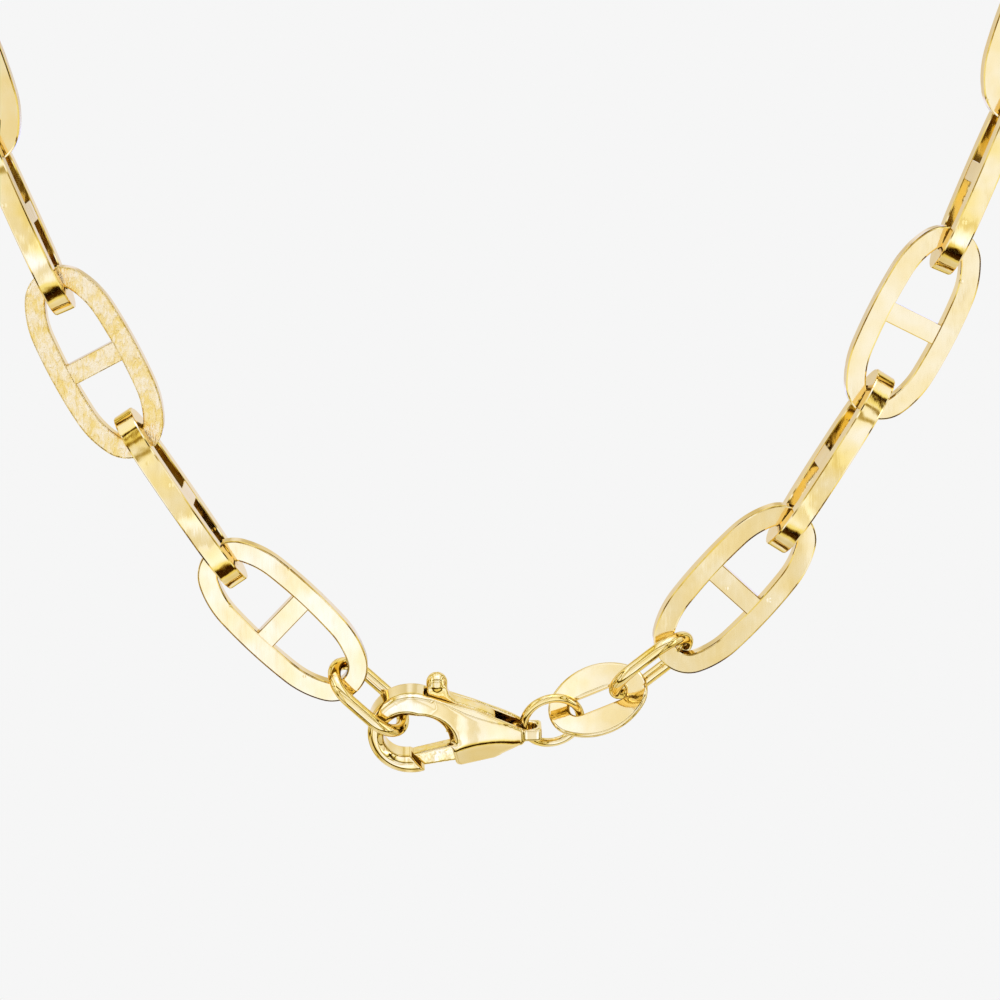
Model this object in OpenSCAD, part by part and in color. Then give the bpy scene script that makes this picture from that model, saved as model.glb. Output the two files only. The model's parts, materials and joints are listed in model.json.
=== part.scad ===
// Mariner link chain: a necklace that hangs as one closed loop, with a lobster clasp
// at its lowest point. The loop hangs in the XZ plane, its front to -Y. The origin is
// the spot inside the top of the loop where a neck or a stand carries it.

/* [Link] */
// Length of a link over all
link_l = 15; // [14.6:0.1:15.4]
// Width of a link over all
link_w = 6.6; // [6.4:0.1:6.8]
// Width of the metal of a link, seen from its face
rim_w = 1.45; // [1.35:0.05:1.5]
// Thickness of a link
link_t = 1.5; // [1.4:0.05:1.55]
// Width of the crossbar in the middle of a link
bar_w = 1.5; // [1.2:0.1:1.8]
// Radius of a link's outline at its ends
end_r = 2.6; // [2.55:0.05:2.7]
// Radius of a link's outline at its shoulders
shoulder_r = 7.5; // [7:0.5:8.5]
// Radius of a link's outline along its sides
side_r = 40; // [35:5:60]
// Bevel along the edges of a link
link_bevel = 0.12; // [0.08:0.01:0.15]

/* [Chain] */
// Number of links, an odd one
link_count = 37; // [33:2:39]
// Play between two links that pull on each other
link_play = 0.08; // [0.06:0.01:0.12]

/* [Jump rings] */
// Length of the two oval jump rings over all
ring_l = 7.42; // [7.38:0.01:7.46]
// Width of the two oval jump rings over all
ring_w = 5.2; // [5:0.1:5.3]
// Wire of the two oval jump rings
ring_wire = 0.95; // [0.85:0.05:0.95]
// Diameter of the small round ring over all
small_ring_d = 4.85; // [4.8:0.05:4.9]
// Wire of the small round ring
small_wire = 0.65; // [0.55:0.05:0.65]

/* [Tag] */
// Length of the tag over all
tag_l = 7.6; // [7.4:0.1:8]
// Height of the tag over all
tag_h = 5.6; // [5.4:0.1:6]
// Thickness of the tag
tag_t = 0.75; // [0.6:0.05:0.8]
// Length of the slot in the tag
slot_l = 4.4; // [4.35:0.05:4.45]
// Height of the slot in the tag
slot_h = 1.25; // [1.2:0.05:1.35]

/* [Clasp] */
// Radius of the hook over its outside
hook_r = 3.2; // [3.15:0.05:3.25]
// Depth of the hook from front to back
hook_t = 2.6; // [2.5:0.05:2.65]
// Greatest thickness of the clasp over its two cheeks
clasp_t = 3.3; // [3.2:0.1:3.5]
// Thickness of the lever
lever_t = 1.3; // [1.1:0.1:1.35]
// Radius of the thumb knob on the lever
knob_r = 0.8; // [0.7:0.05:0.85]
// Radius of the rivet that the lever turns on
pin_r = 0.4; // [0.3:0.05:0.45]

/* [Hidden] */
$fn = 96;
over = 1;

// Clearances
lever_gap = 0.1;
pin_fit = 0.02;
lever_fit = 0.04;

// How the chain hangs: the run along the loop from its lowest point, and the slope of
// the chain there in degrees. Above the last row it runs straight, and then round the neck.
HANG = [[0, 0], [6, 14], [12, 30], [17, 43.5], [23, 51.5], [29, 56.5],
        [41, 62.7], [52.5, 67], [64, 70], [90, 74]];
// Run from the lowest point to the first and to the last link
run_to_first = 12.3;
run_to_last = 15.3;

// Link, worked out
end_in_r = end_r - rim_w;
end_c = link_l / 2 - end_r;
side_c = link_w / 2 - side_r;
opening_l = link_l - 2 * rim_w;

// Centre of a shoulder's arc, which touches the side's arc and the end's arc
to_side = side_r - shoulder_r;
to_end = shoulder_r - end_r;
c_apart = norm([end_c, side_c]);
along_c = (pow(to_side, 2) - pow(to_end, 2) + pow(c_apart, 2)) / (2 * c_apart);
off_c = sqrt(pow(to_side, 2) - pow(along_c, 2));
shoulder_c = [(end_c * along_c + side_c * off_c) / c_apart,
              side_c + (-side_c * along_c + end_c * off_c) / c_apart];
side_a = atan2(shoulder_c[0], shoulder_c[1] - side_c);
end_a = atan2(-shoulder_c[1], end_c - shoulder_c[0]);

// Lines across the rim on which the arcs meet, from inside the opening to outside the link.
// A shoulder is thinner all round by a hair, and runs on a little inside its neighbours.
cut_reach = to_end + end_r + 1;
shoulder_hair = 0.003;
overrun_a = 0.1 / shoulder_r * 180 / PI;
end_cut = rim_cut(end_a);
side_cut = rim_cut(90 - side_a);
shoulder_from = rim_cut(end_a - overrun_a);
shoulder_to = rim_cut(90 - side_a + overrun_a);
function rim_cut(a) = [shoulder_c + to_end * along(a), shoulder_c + cut_reach * along(a)];
function along(a) = [cos(a), sin(a)];
function flip_x(p) = [-p[0], p[1]];
function flip_y(p) = [p[0], -p[1]];

// Links pull on each other with the corners of their crossed ends
corner = link_t / 2 - link_bevel;
corner_sag = end_in_r - sqrt(pow(end_in_r, 2) - pow(corner, 2));
flat_step = opening_l - 2 * end_in_r;
edge_step = opening_l + 2 * (end_in_r - 2 * corner_sag - link_play);
pair_step = flat_step + edge_step;
links_run = (link_count - 1) / 2 * pair_step + flat_step;

// Fastening, from the first link to the last: each piece hangs in the one before it. A seat is
// the distance of the wire's middle from the middle of the bend or the slot that it lies in.
ring_step = ring_l - ring_wire;
ring_bend = ring_w / 2 - ring_wire / 2;
hook_way = -42.3;
hook_ring_roll = 22.5;
hook_ring_seat = 0.33;
clasp_seat = 0.57;
clasp_back = 0.28;
small_ring_r = small_ring_d / 2 - small_wire / 2;
small_way = 20;
small_ring_roll = 28;
small_ring_back = 0.22;
eye_way = 3.525;
eye_seat = 8.54;
tag_way = 22;
tag_lean = 38;
tag_back = 0.08;
tag_small_way = 25.8;
tag_small_seat = 1.59;
tag_seat = 1.46;
chain_way = 37.9;
chain_ring_roll = -29;
chain_ring_seat = 0.2;

hook_to_small = (eye_seat + small_ring_r) * along(eye_way);
small_to_tag = (small_ring_r + tag_small_seat) * along(tag_small_way);
tag_to_ring = tag_seat * along(tag_way) + ring_step / 2 * along(chain_way);
first_to_hook = (hook_ring_seat + ring_step + clasp_seat) * along(hook_way);
fastening_span = first_to_hook + hook_to_small + small_to_tag + tag_to_ring
    + (ring_step / 2 + chain_ring_seat) * along(chain_way);

// Loop: the hanging sides, a straight run and the round top, which close on each other
half_run = (links_run + run_to_first + run_to_last) / 2;
hang_end = HANG[len(HANG) - 1][0];
hang_a = HANG[len(HANG) - 1][1];
function hang_reach(i) = (HANG[i + 1][0] - HANG[i][0]) * (sin(HANG[i + 1][1]) - sin(HANG[i][1]))
    / (HANG[i + 1][1] - HANG[i][1]) * 180 / PI;
function reach_up_to(i) = i == 0 ? 0 : reach_up_to(i - 1) + hang_reach(i - 1);
hang_x = reach_up_to(len(HANG) - 1);
top_share = sin(hang_a) / (PI * (180 - hang_a) / 180);
round_start = (top_share * half_run - hang_x + cos(hang_a) * hang_end) / (top_share + cos(hang_a));
function slope(run) = run < hang_end ? lookup(run, HANG)
    : run < round_start ? hang_a
    : hang_a + (180 - hang_a) * (run - round_start) / (half_run - round_start);

// Way of the chain at a run from the lowest point, up the left side and down the right
function way(run) = run <= half_run ? 180 - slope(run) : 180 + slope(2 * half_run - run);
function step(i) = i % 2 == 0 ? flat_step : edge_step;
function start_run(i) = run_to_first + floor(i / 2) * pair_step + (i % 2) * flat_step;
function link_way(i) = way(start_run(i) + step(i) / 2);
PATH = [for (i = 0, p = [0, 0]; i <= link_count; p = p + step(i) * along(link_way(i)), i = i + 1) p];

// The last link meets the fastening: what the path misses is shared out between the links
miss = fastening_span - PATH[link_count];
WALK = [for (i = [0 : link_count]) PATH[i] + i / link_count * miss];

// The top of the loop lies over the origin, with the inside of the links at height 0
top_link = floor((half_run - run_to_first) / pair_step) * 2;
top_point = WALK[top_link] + (half_run - start_run(top_link)) * along(link_way(top_link));
shift = [-top_point[0], link_w / 2 - top_point[1]];

first_end = WALK[0] + shift;
hook_ring_at = first_end + (hook_ring_seat + ring_step / 2) * along(hook_way);
hook_at = first_end + first_to_hook;
small_ring_at = hook_at + hook_to_small;
tag_at = small_ring_at + small_to_tag;
chain_ring_at = tag_at + tag_to_ring;

// Clasp, in its own frame: X from the hook to the tail, Y up, Z to the front,
// with the origin in the middle of the hook
clasp_roll = 12;
clasp_tilt = 1;
hook_c = [0.28, 0.15];
mouth_r = 1.65;
mouth_c = [-0.1, -0.1];
throat_r = 2.2;
throat_c = [0.9, mouth_c[1] + mouth_r - throat_r];
pivot = [5.4, -0.3];
hub_r = 0.95;
knob_c = [2.23, 3.77];
cheek_bulge_r = 15;
cheek_c = [4.4, -0.2];
ridge_y = -0.87;
ridge_z = 1.6;
ridge_turns = [22, 6.6, 0];
top_edge_z = 1.34;
top_turns = [-55, 0, -21.7];
cheek_end = 8.5;
tail_end = 9.85;
tail_y = [-0.77, 0.17];
tail_t = 1.9;
eye_d = 1.25;
eye_x = [8.5, 8.88];
slot_w = lever_t + 2 * lever_gap;
slot_start = 1.3;
floor_start = 4.7;
floor_t = 0.4;
mouth_bevel = 0.45;
edge_round = 0.5;
pin_l = slot_w + 1;

// Cheek outline: top and bottom edges that come together at the tail
cheek_top = [[1.2, 3.2], [5, 1.92], [cheek_end, 0.3]];
cheek_bottom = [[3.95, -2.5], [6.4, -2], [cheek_end, -0.9]];
cheek_foot = [[3.5, -2.1], [3.2, -0.75], [0.9, -0.75]];
corner_r = 0.4;
function floor_at(x) = [x, lookup(x, cheek_bottom) + floor_t];

// Lever outline: the thumb piece from the knob back to the hub and forward again, and the gate
thumb_back = [[1.5, 3.6], [2.95, 3.6], [3.1, 2.9], [3.6, 2.45], [5.1, 1.88], [6.2, 1.4], [6.5, 1.05]];
thumb_front = [[3.6, 0.55], [2.9, 1.15], [2.1, 1.75], [1.5, 2.5]];
thumb_a = [0, 190];
gate_edge = [[3.1, -1.05], [4.4, -0.75]];
gate_foot = [4.3, -2.15];
gate_a = -90;
function on_hub(a) = pivot + hub_r * along(a);

// The hook's tip is cut on a slant, and the gate ends on the same slant
tip_in = [0.2, -1.7];
tip_out = [1.22, -2.8];
tip_dir = (tip_out - tip_in) / norm(tip_out - tip_in);
tip_normal = [-tip_dir[1], tip_dir[0]];
gate_start = tip_in + 0.12 * tip_normal;
gate_top = gate_start + 0.1 * tip_dir;
gate_low = gate_start + 1.35 * tip_dir;

function link_name(i) = str("link_", i < 10 ? "0" : "", i);

// Places a child, drawn with its long axis along X, in the plane of the loop.
// A flat child turns its Z to the front, the other one its Y to the back.
module place(at, way, flat = true, back = 0) {
    translate([at[0], back, at[1]]) rotate([0, -way, 0]) rotate([flat ? 90 : 0, 0, 0]) children();
}

// Section of a bar with bevelled edges, from radius r_in to r_out
module bar_section(r_in, r_out, t, bevel) {
    inner = r_in == 0 ? [[0, -t / 2], [0, t / 2]]
        : [[r_in + bevel, -t / 2], [r_in, -t / 2 + bevel], [r_in, t / 2 - bevel], [r_in + bevel, t / 2]];
    outer = [[r_out - bevel, t / 2], [r_out, t / 2 - bevel],
             [r_out, -t / 2 + bevel], [r_out - bevel, -t / 2]];
    polygon(concat(inner, outer));
}

// Full ring of that section about a centre
module bar_ring(centre, r_in, r_out, t, bevel) {
    translate([centre[0], centre[1], 0]) rotate_extrude() bar_section(r_in, r_out, t, bevel);
}

// The part of the children inside a flat outline
module within(outline, t) {
    intersection() {
        children();
        translate([0, 0, -t]) linear_extrude(2 * t) polygon(outline);
    }
}

module rim_ring(centre, r, hair = 0) {
    bar_ring(centre, r - rim_w + hair, r - hair, link_t - 2 * hair, link_bevel);
}

// One link: two sides, four shoulders, two ends and the crossbar
module link() {
    color("gold") union() {
        for (turn = [0, 180])
            rotate([0, 0, turn]) {
                within([side_cut[0], side_cut[1], flip_x(side_cut[1]), flip_x(side_cut[0])], link_t)
                    rim_ring([0, side_c], side_r);
                within([end_cut[0], end_cut[1], [link_l, end_cut[1][1]], [link_l, -end_cut[1][1]],
                        flip_y(end_cut[1])], link_t)
                    rim_ring([end_c, 0], end_r);
                for (flip = [0, 1])
                    mirror([0, flip, 0])
                        within([shoulder_from[0], shoulder_from[1], shoulder_to[1], shoulder_to[0]], link_t)
                            rim_ring(shoulder_c, shoulder_r, shoulder_hair);
            }
        translate([-bar_w / 2, -link_w / 2 + rim_w / 2, -link_t / 2])
            cube([bar_w, link_w - rim_w, link_t]);
    }
}

module link_at(i) {
    middle = (WALK[i - 1] + WALK[i]) / 2 + shift;
    place(middle, link_way(i - 1), i % 2 == 1) link();
}

// Oval ring of round wire: two half rings and two straight stretches
module oval_ring() {
    straight = ring_step - 2 * ring_bend;
    color("gold") union() {
        for (side = [-1, 1])
            translate([side * straight / 2, 0, 0])
                rotate([0, 0, -90 * side])
                    rotate_extrude(angle = 180)
                        translate([ring_bend, 0]) circle(d = ring_wire);
        for (side = [-1, 1])
            translate([-straight / 2, side * ring_bend, 0])
                rotate([0, 90, 0]) cylinder(d = ring_wire, h = straight);
    }
}

module jump_ring_hook() {
    place(hook_ring_at, hook_way, false) rotate([hook_ring_roll, 0, 0]) oval_ring();
}

module jump_ring_chain() {
    place(chain_ring_at, chain_way, false) rotate([chain_ring_roll, 0, 0]) oval_ring();
}

module jump_ring_tail() {
    color("gold")
        place(small_ring_at, small_way, back = small_ring_back)
            rotate([small_ring_roll, 0, 0])
                rotate_extrude() translate([small_ring_r, 0]) circle(d = small_wire);
}

// Oval plate of four arcs with a round-ended slot along its middle
module tag_link() {
    tag_end_r = 2.2;
    tag_end_c = tag_l / 2 - tag_end_r;
    half_h = tag_h / 2;
    tag_side_r = (pow(tag_end_c, 2) + pow(half_h, 2) - pow(tag_end_r, 2)) / (2 * (half_h - tag_end_r));
    tag_side_c = half_h - tag_side_r;
    tag_cut = [tag_end_c, 0] + 2 * tag_end_r * along(atan2(-tag_side_c, tag_end_c));
    tag_bevel = 0.15;
    color("gold")
        place(tag_at, tag_way, back = tag_back)
            rotate([-tag_lean, 0, 0])
                difference() {
                    for (turn = [0, 180])
                        rotate([0, 0, turn]) {
                            within([[0, 0], [tag_end_c, 0], tag_cut, flip_x(tag_cut), [-tag_end_c, 0]], tag_t)
                                bar_ring([0, tag_side_c], 0, tag_side_r, tag_t, tag_bevel);
                            within([[tag_end_c, 0], tag_cut, [tag_l, tag_cut[1]], [tag_l, -tag_cut[1]],
                                    flip_y(tag_cut)], tag_t)
                                bar_ring([tag_end_c, 0], 0, tag_end_r, tag_t, tag_bevel);
                        }
                    for (side = [-1, 1])
                        translate([side * (slot_l - slot_h) / 2, 0, -tag_t])
                            cylinder(d = slot_h, h = 2 * tag_t);
                    translate([-(slot_l - slot_h) / 2, -slot_h / 2, -tag_t])
                        cube([slot_l - slot_h, slot_h, 2 * tag_t]);
                }
}

module in_clasp() {
    place(hook_at, clasp_tilt, back = clasp_back) rotate([clasp_roll, 0, 0]) children();
}

// Flat shape of the clasp's plane, as deep as t
module deep(t) {
    translate([0, 0, -t / 2]) linear_extrude(t) children();
}

// The ring of the hook before its mouth is cut, with rounded edges
module hook_disc() {
    flat_r = hook_r - edge_round;
    flat_z = hook_t / 2 - edge_round;
    translate([hook_c[0], hook_c[1], 0])
        rotate_extrude() {
            translate([0, -hook_t / 2]) square([flat_r, hook_t]);
            translate([0, -flat_z]) square([hook_r, 2 * flat_z]);
            for (side = [-1, 1]) translate([flat_r, side * flat_z]) circle(edge_round);
        }
}

module cheek_outline() {
    polygon(concat(cheek_top, [cheek_bottom[2], cheek_bottom[1], cheek_bottom[0]], cheek_foot));
    translate(cheek_bottom[0] + corner_r * [-0.2, 1]) circle(corner_r);
}

// All that lies under a plane through a point, tilted by the given turns
module under(point, turns) {
    size = 4 * tail_end;
    translate(point) rotate(turns) translate([-size / 2, -size / 2, -size]) cube(size);
}

// What bounds the cheek in front: its bulge, the bevel of its top edge and the one below its ridge
module cheek_face() {
    intersection() {
        translate([cheek_c[0], cheek_c[1], clasp_t / 2 - cheek_bulge_r]) sphere(cheek_bulge_r);
        under([cheek_c[0], ridge_y, ridge_z], ridge_turns);
        under([cheek_top[0][0], cheek_top[0][1], top_edge_z], top_turns);
    }
}

module cheeks() {
    intersection() {
        deep(2 * clasp_t) cheek_outline();
        cheek_face();
        mirror([0, 0, 1]) cheek_face();
    }
}

module tail() {
    bevel = 0.2;
    half = tail_t / 2;
    translate([0, tail_y[1], 0])
        rotate([90, 0, 0])
            linear_extrude(tail_y[1] - tail_y[0])
                polygon([[cheek_end - 0.5, -half], [tail_end - bevel, -half], [tail_end, bevel - half],
                         [tail_end, half - bevel], [tail_end - bevel, half], [cheek_end - 0.5, half]]);
}

// A round hole through the clasp whose rims are bevelled
module bevelled_hole(centre, r, t) {
    translate([centre[0], centre[1], 0]) {
        cylinder(r = r, h = 2 * clasp_t, center = true);
        for (side = [0, 1])
            mirror([0, 0, side])
                translate([0, 0, t / 2 - mouth_bevel])
                    cylinder(r1 = r, r2 = r + over, h = over);
    }
}

module clasp_body() {
    color("gold") in_clasp()
        difference() {
            union() {
                hook_disc();
                cheeks();
                tail();
            }
            bevelled_hole(mouth_c, mouth_r, hook_t);
            intersection() {
                bevelled_hole(throat_c, throat_r, hook_t + 0.4);
                deep(2 * clasp_t) translate([-throat_r, throat_c[1]]) square(3 * throat_r);
            }
            deep(2 * clasp_t) polygon([mouth_c, throat_c, [throat_c[0], mouth_c[1] + mouth_r],
                                       [mouth_c[0], mouth_c[1] + mouth_r]]);
            // The gap between the hook's tip and the cheeks
            deep(2 * clasp_t)
                polygon([tip_in - tip_dir, tip_out + tip_dir, [3.7, -4], cheek_foot[0] - [0.06, 0],
                         cheek_foot[1] - [0.06, 0], [1.5, -0.3]]);
            // The slot of the lever, open to the top and to the mouth
            deep(slot_w)
                polygon([[slot_start, 4], [slot_start, -3.5], [floor_start, -3.5], floor_at(floor_start),
                         floor_at(cheek_bottom[1][0]), floor_at(eye_x[0]), [eye_x[0], 4]]);
            // The eye of the tail
            for (x = eye_x)
                translate([x, 0, 0]) rotate([90, 0, 0]) cylinder(d = eye_d, h = 2 * clasp_t, center = true);
            translate([pivot[0], pivot[1], 0])
                cylinder(r = pin_r + pin_fit, h = pin_l + 2 * pin_fit, center = true);
        }
}

module clasp_trigger() {
    color("gold") in_clasp()
        difference() {
            union() {
                deep(lever_t) {
                    translate(pivot) circle(hub_r);
                    polygon(concat(thumb_back, [on_hub(thumb_a[0]), pivot, on_hub(thumb_a[1])], thumb_front));
                    polygon(concat([gate_top], gate_edge, [pivot, on_hub(gate_a), gate_foot, gate_low]));
                }
                translate([knob_c[0], knob_c[1], 0]) sphere(knob_r);
            }
            translate([pivot[0], pivot[1], 0])
                cylinder(r = pin_r + lever_fit, h = 2 * lever_t, center = true);
        }
}

module clasp_pin() {
    color("gold") in_clasp()
        translate([pivot[0], pivot[1], 0]) cylinder(r = pin_r, h = pin_l, center = true);
}

for (i = [1 : link_count])
    link_at(i);
jump_ring_hook();
clasp_body();
clasp_trigger();
clasp_pin();
jump_ring_tail();
tag_link();
jump_ring_chain();
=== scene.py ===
"""Mariner link chain necklace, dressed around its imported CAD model.

Every piece is built in millimetres in a frame of its own, seated where its CAD node lies, and handed
over in metres.
"""

import json
import logging
import math
from dataclasses import dataclass, field
from enum import Enum

import bmesh
import bpy
import numpy as np
from mathutils import Matrix, Vector


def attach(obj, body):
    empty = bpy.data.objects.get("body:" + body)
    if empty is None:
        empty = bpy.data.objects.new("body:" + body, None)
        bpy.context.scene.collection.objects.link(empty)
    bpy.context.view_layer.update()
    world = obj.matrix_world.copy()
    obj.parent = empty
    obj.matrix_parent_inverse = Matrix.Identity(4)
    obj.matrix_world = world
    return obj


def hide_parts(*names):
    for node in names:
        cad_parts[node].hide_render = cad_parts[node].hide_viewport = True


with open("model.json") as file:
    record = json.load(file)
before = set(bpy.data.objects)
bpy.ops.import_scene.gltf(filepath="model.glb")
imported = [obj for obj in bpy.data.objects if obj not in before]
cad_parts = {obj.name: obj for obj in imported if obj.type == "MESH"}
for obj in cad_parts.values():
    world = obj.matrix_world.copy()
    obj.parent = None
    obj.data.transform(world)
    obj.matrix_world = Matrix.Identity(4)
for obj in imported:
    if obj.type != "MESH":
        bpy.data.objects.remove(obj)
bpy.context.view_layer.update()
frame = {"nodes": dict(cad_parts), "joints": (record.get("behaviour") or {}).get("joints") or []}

LOG = logging.getLogger("necklace")
MM = 0.001
UP = Vector((0.0, 0.0, 1.0))
ORIGIN = Vector((0.0, 0.0, 0.0))
QUARTER = math.radians(90)
# Stands a section that lies in the XY plane across the X axis.
ACROSS_X = Matrix.Rotation(QUARTER, 4, "Y")

# Vertices closer than this, in millimetres, are one.
WELD = 1e-4
# A unit normal whose Y is within this of 0 faces neither front nor back.
LEVEL = 1e-6
# How far the large faces decide the shading of an edge, from 1 to 100.
FACE_WEIGHT = 60
# How far one round of mopping draws a vertex towards the middle of its neighbours.
MOP_SHARE = 0.5
# A round bevel, whose faces take the material of their neighbours.
ROUND_BEVEL = {"offset_type": "OFFSET", "profile": 0.5, "material": -1}

# A value and a brightness for each stop of a ramp.
Stops = tuple[tuple[float, float], ...]
# Vertices and edges of a bmesh.
Geom = list[bmesh.types.BMVert | bmesh.types.BMEdge]


class Body(Enum):
    """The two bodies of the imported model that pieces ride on."""

    NECKLACE = "necklace"
    LEVER = "clasp_lever"


# ---------------------------------------------------------------- shader nodes


def linear(hex_colour: str) -> tuple[float, float, float, float]:
    """Turns an sRGB colour into the linear one that a shader reads.

    Args:
        hex_colour: Six hex digits, with or without a leading hash.

    Returns:
        Red, green, blue and an alpha of 1.
    """
    digits = hex_colour.lstrip("#")
    parts = [int(digits[i : i + 2], 16) / 255 for i in (0, 2, 4)]
    red, green, blue = (c / 12.92 if c <= 0.04045 else ((c + 0.055) / 1.055) ** 2.4 for c in parts)
    return red, green, blue, 1.0


def fresh_tree(holder: bpy.types.Material | bpy.types.World) -> bpy.types.NodeTree:
    """Turns on the nodes of a material or a world, and clears them.

    Args:
        holder: The material or world.

    Returns:
        Its empty node tree.
    """
    holder.use_nodes = True
    holder.node_tree.nodes.clear()
    return holder.node_tree


def add_node(
    tree: bpy.types.NodeTree, kind: str, settings: dict | None = None, links: dict | None = None
) -> bpy.types.Node:
    """Adds one shader node.

    Args:
        tree: The node tree it goes into.
        kind: The node's Blender type.
        settings: Attributes of the node, or default values of its inputs, by name or number.
        links: Output sockets that feed its inputs, by input name or number.

    Returns:
        The new node.
    """
    node = tree.nodes.new(kind)
    for name, value in (settings or {}).items():
        if isinstance(name, str) and hasattr(node, name) and name not in node.inputs:
            setattr(node, name, value)
        else:
            node.inputs[name].default_value = value
    for name, socket in (links or {}).items():
        tree.links.new(socket, node.inputs[name])
    return node


def reckon(
    tree: bpy.types.NodeTree, operation: str, *values: float | bpy.types.NodeSocket
) -> bpy.types.NodeSocket:
    """Adds a math node.

    Args:
        tree: The node tree.
        operation: What it does, by its Blender name.
        values: Its inputs in order, each a number or a socket.

    Returns:
        Its result.
    """
    numbers = {at: value for at, value in enumerate(values) if isinstance(value, float)}
    sockets = {at: value for at, value in enumerate(values) if at not in numbers}
    return add_node(tree, "ShaderNodeMath", {"operation": operation} | numbers, sockets).outputs[0]


def stretch(
    tree: bpy.types.NodeTree, value: bpy.types.NodeSocket, span: tuple[float, float],
    onto: tuple[float, float] = (0.0, 1.0),
) -> bpy.types.NodeSocket:
    """Maps one range of a value onto another, and holds it there.

    Args:
        tree: The node tree.
        value: The socket that it reads.
        span: The range it comes from.
        onto: The range it goes to.

    Returns:
        The mapped value.
    """
    ends = {"From Min": span[0], "From Max": span[1], "To Min": onto[0], "To Max": onto[1]}
    return add_node(tree, "ShaderNodeMapRange", ends, {"Value": value}).outputs["Result"]


def noise(
    tree: bpy.types.NodeTree, place: bpy.types.NodeSocket, size: float, detail: float,
    roughness: float = 0.5, bend: float = 0.0,
) -> bpy.types.NodeSocket:
    """Adds a noise pattern.

    Args:
        tree: The node tree.
        place: The coordinates that it reads, in metres.
        size: The size of its patches, in millimetres.
        detail: How many times finer patches are laid over them.
        roughness: How strong the finer ones are.
        bend: How far all are warped.

    Returns:
        Its height, which lies round 0.5.
    """
    settings = {"Scale": 1 / (size * MM), "Detail": detail, "Roughness": roughness, "Distortion": bend}
    return add_node(tree, "ShaderNodeTexNoise", settings, {"Vector": place}).outputs["Fac"]


def ramp(
    tree: bpy.types.NodeTree, stops: list[tuple[float, list[float]]], value: bpy.types.NodeSocket
) -> bpy.types.NodeSocket:
    """Adds a colour ramp that runs from its first stop to its last.

    Args:
        tree: The node tree.
        stops: A value and a colour for each stop, in order.
        value: The socket that it reads.

    Returns:
        The ramp's colour.
    """
    low, high = stops[0][0], stops[-1][0]
    along = stretch(tree, value, (low, high))
    node = add_node(tree, "ShaderNodeValToRGB", links={"Fac": along})
    elements = node.color_ramp.elements
    elements.remove(elements[1])
    for number, (at, colour) in enumerate(stops):
        share = (at - low) / (high - low)
        element = elements[0] if number == 0 else elements.new(share)
        element.position = share
        element.color = colour
    return node.outputs["Color"]


def grey_ramp(
    tree: bpy.types.NodeTree, stops: Stops, value: bpy.types.NodeSocket, most: float = 1.0
) -> bpy.types.NodeSocket:
    """Adds a ramp of greys.

    Args:
        tree: The node tree.
        stops: A value and a brightness for each stop, in order.
        value: The socket that it reads.
        most: The brightness that comes out as 1.

    Returns:
        The ramp's grey.
    """
    return ramp(tree, [(at, [light / most] * 3 + [1.0]) for at, light in stops], value)


# ---------------------------------------------------------------- finishes


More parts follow.
